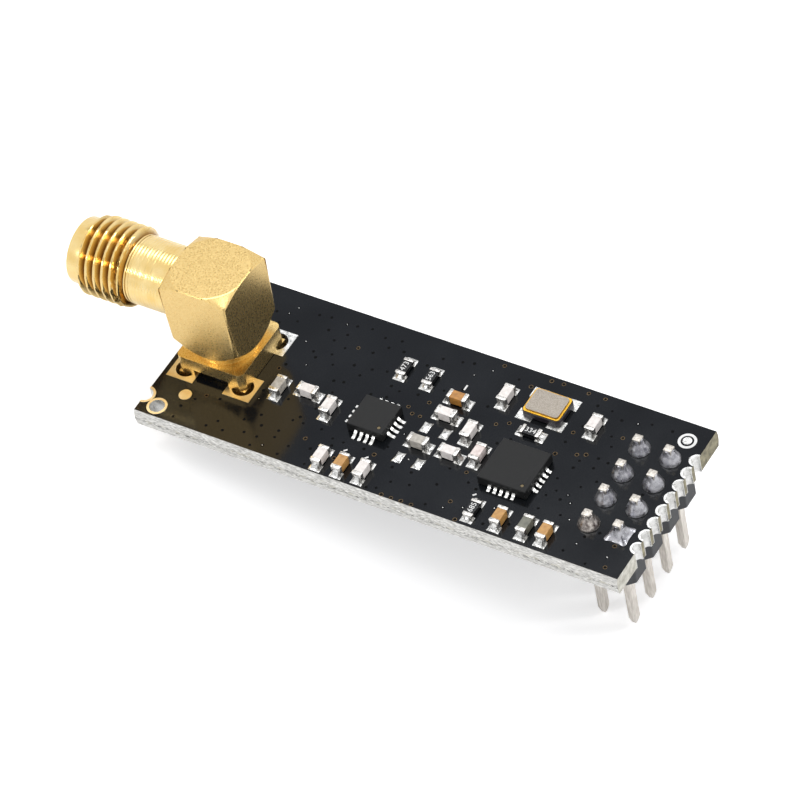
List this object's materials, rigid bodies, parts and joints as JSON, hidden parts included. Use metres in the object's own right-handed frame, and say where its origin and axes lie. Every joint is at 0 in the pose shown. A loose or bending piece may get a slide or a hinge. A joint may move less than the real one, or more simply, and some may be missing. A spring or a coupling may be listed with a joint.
{
  "type": "wireless transceiver module",
  "caption": "Plug-in radio module: black circuit board with a right-angle gold threaded antenna jack, a pin header, radio chips, a crystal and chip parts.",
  "frame": {"origin": "centre of the board's underside", "axes": "+X from the antenna jack to the pin header, +Z out of the board's component face"},
  "size_m": [0.0486, 0.0152, 0.0197],
  "materials": {
    "board": "black solder mask on glass epoxy",
    "tinned_copper": "bright tin",
    "gold_copper": "thin gold over nickel",
    "header_plastic": "moulded, glass filled",
    "pin_tin": "tinned, drawn",
    "solder": "dull solder",
    "jack_gold": "satin gold plate on turned brass",
    "dielectric": "white fluoropolymer",
    "contact_gold": "bright gold plate",
    "package": "moulded epoxy, fine matt",
    "crystal_ceramic": "dark fired ceramic",
    "crystal_seal": "gold braze ring",
    "crystal_lid": "brushed nickel lid",
    "capacitor_white": "pale fired ceramic",
    "capacitor_grey": "grey fired ceramic",
    "capacitor_tan": "tan fired ceramic",
    "resistor_black": "black overglaze on ceramic",
    "terminal_tin": "matt tin"
  },
  "bodies": {
    "root": {"circuit_board": "board", "edge_plating": "tinned_copper", "corner_plating": "gold_copper", "alignment_marks": "gold_copper", "header_insulator": "header_plastic", "header_pads": "tinned_copper", "header_solder": "solder", "jack_body": "jack_gold", "jack_barrel": "jack_gold", "jack_dielectric": "dielectric", "jack_contact": "contact_gold", "jack_tail": "contact_gold", "jack_bush": "dielectric", "jack_pads": "gold_copper", "jack_solder": "solder", "amplifier_chip": "package", "amplifier_leads": "tinned_copper", "transceiver_chip": "package", "transceiver_leads": "tinned_copper", "crystal_base": "crystal_ceramic", "crystal_seal": "crystal_seal", "crystal_lid": "crystal_lid", "crystal_joints": "solder", "capacitor_terminals": "terminal_tin", "resistor_terminals": "terminal_tin", "chip_solder": "solder", "empty_lands": "solder", "header_pin_1": "pin_tin", "header_pin_2": "pin_tin", "header_pin_3": "pin_tin", "header_pin_4": "pin_tin", "header_pin_5": "pin_tin", "header_pin_6": "pin_tin", "header_pin_7": "pin_tin", "header_pin_8": "pin_tin", "capacitor_1": "capacitor_grey", "capacitor_2": "capacitor_white", "capacitor_3": "capacitor_white", "capacitor_4": "capacitor_white", "capacitor_5": "capacitor_tan", "capacitor_6": "capacitor_white", "capacitor_7": "capacitor_tan", "capacitor_8": "capacitor_grey", "capacitor_9": "capacitor_white", "capacitor_10": "capacitor_grey", "capacitor_11": "capacitor_white", "capacitor_12": "capacitor_white", "capacitor_13": "capacitor_white", "capacitor_14": "capacitor_grey", "capacitor_15": "capacitor_tan", "capacitor_16": "capacitor_grey", "capacitor_17": "capacitor_tan", "resistor_1": "resistor_black", "resistor_2": "resistor_black", "resistor_3": "resistor_black", "resistor_4": "resistor_black"}
  },
  "joints": []
}
